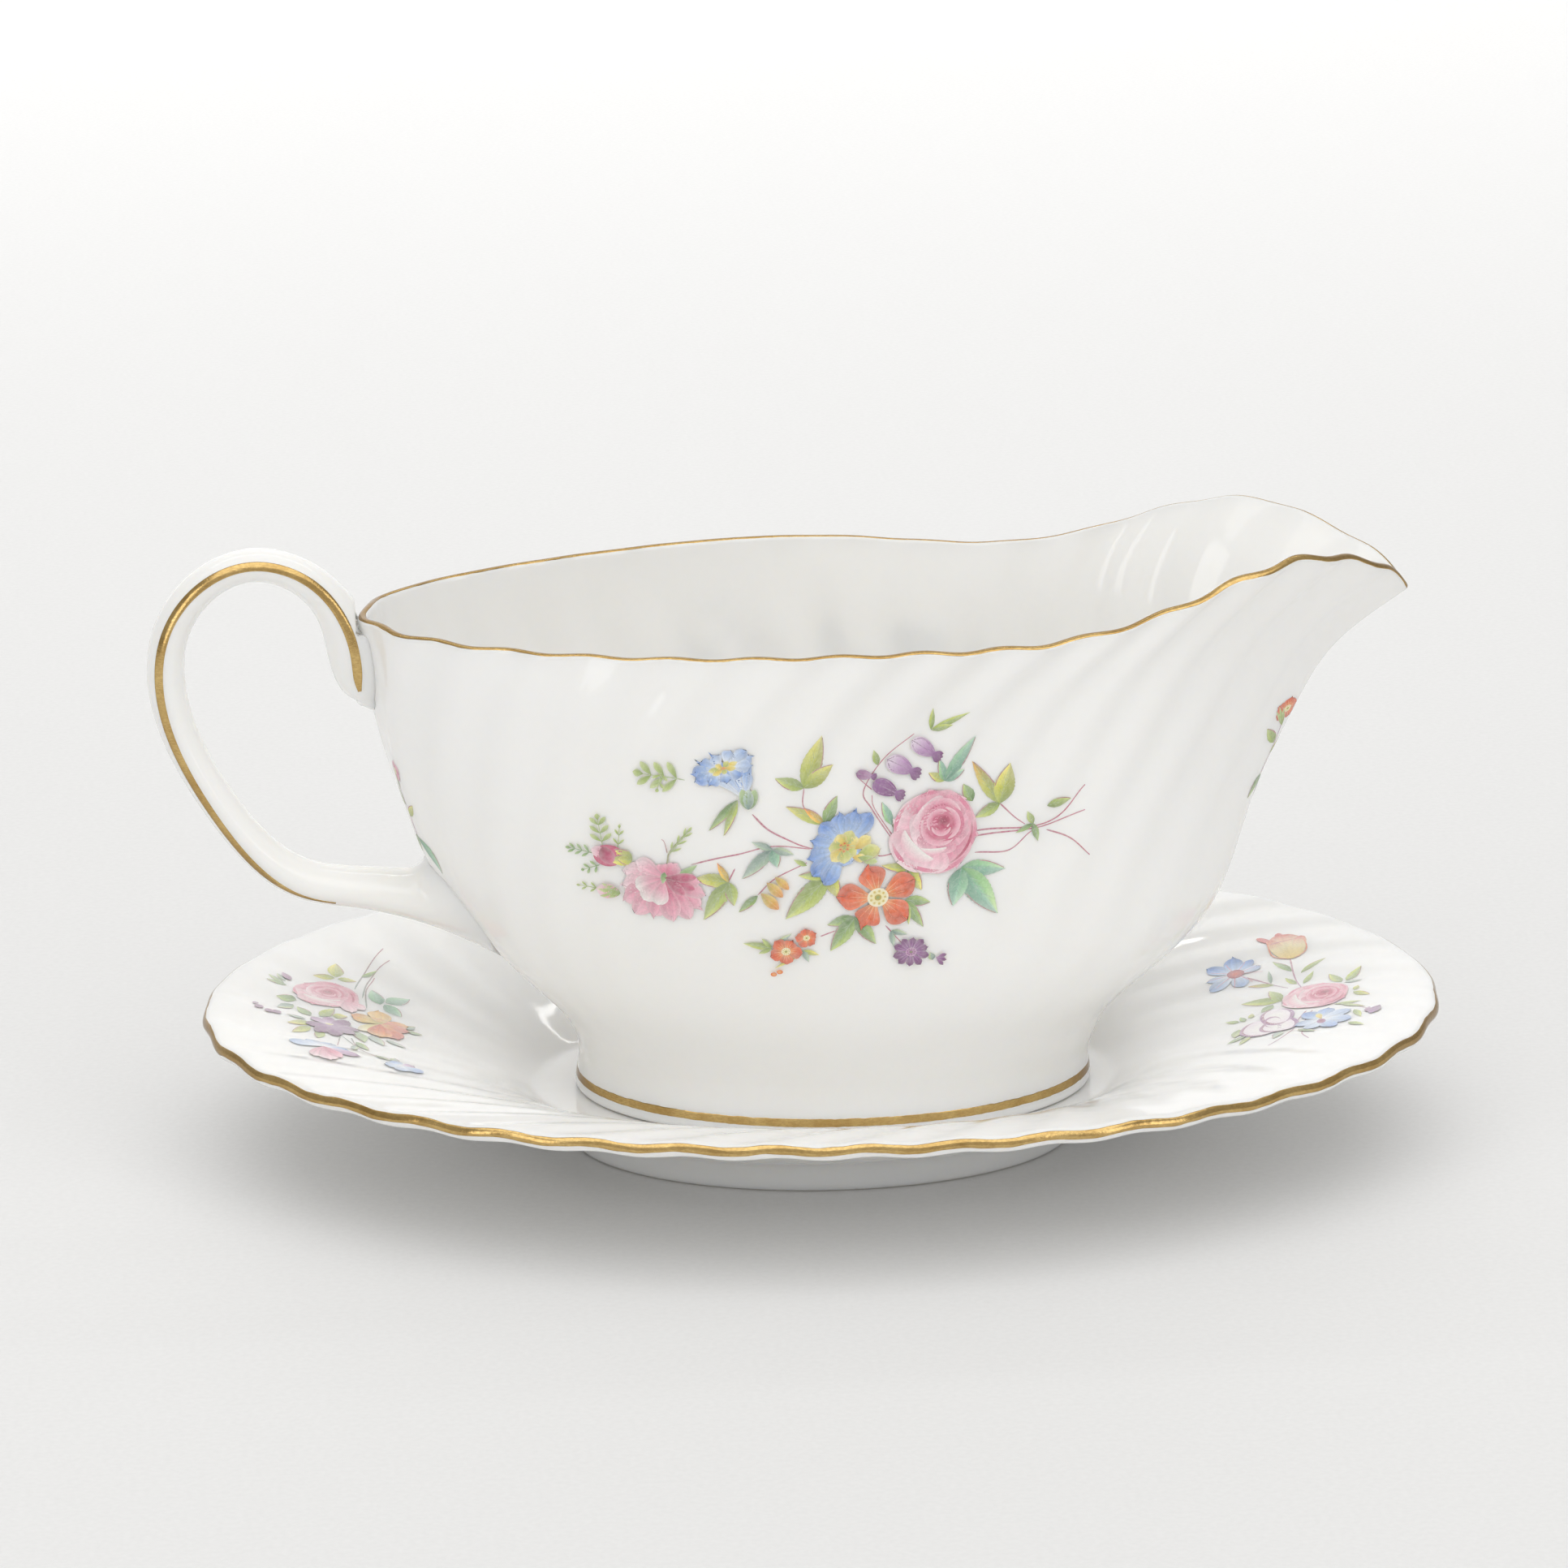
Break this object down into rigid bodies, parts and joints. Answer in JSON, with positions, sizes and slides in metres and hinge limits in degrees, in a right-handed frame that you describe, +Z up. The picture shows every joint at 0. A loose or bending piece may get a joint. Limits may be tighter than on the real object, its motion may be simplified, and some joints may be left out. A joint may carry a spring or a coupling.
{
  "type": "gravy boat on stand",
  "caption": "Oval porcelain gravy boat with fluted wall, leaf-shaped pouring lip and loop handle, gilded edges, lifting off its own fluted oval stand.",
  "frame": {"origin": "centre of the stand's foot ring, on the table plane", "axes": "+X towards the pouring lip, +Z up, +Y across the boat to the left of someone looking along +X; the boat and the stand share one long axis"},
  "size_m": [0.2334, 0.1604, 0.1128],
  "materials": {
    "porcelain": "gloss",
    "gilding": "polished"
  },
  "bodies": {
    "stand": {"stand": "porcelain", "stand_rim_gilding": "gilding"},
    "boat": {"boat_body": "porcelain", "boat_rim_gilding": "gilding", "boat_foot_gilding": "gilding", "boat_handle": "porcelain", "handle_gilding_left": "gilding", "handle_gilding_right": "gilding"}
  },
  "joints": [
    {"name": "boat_lift", "type": "slide", "parent": "stand", "child": "boat", "axis": [0, 0, 1], "range_m": [0, 0.15]}
  ]
}
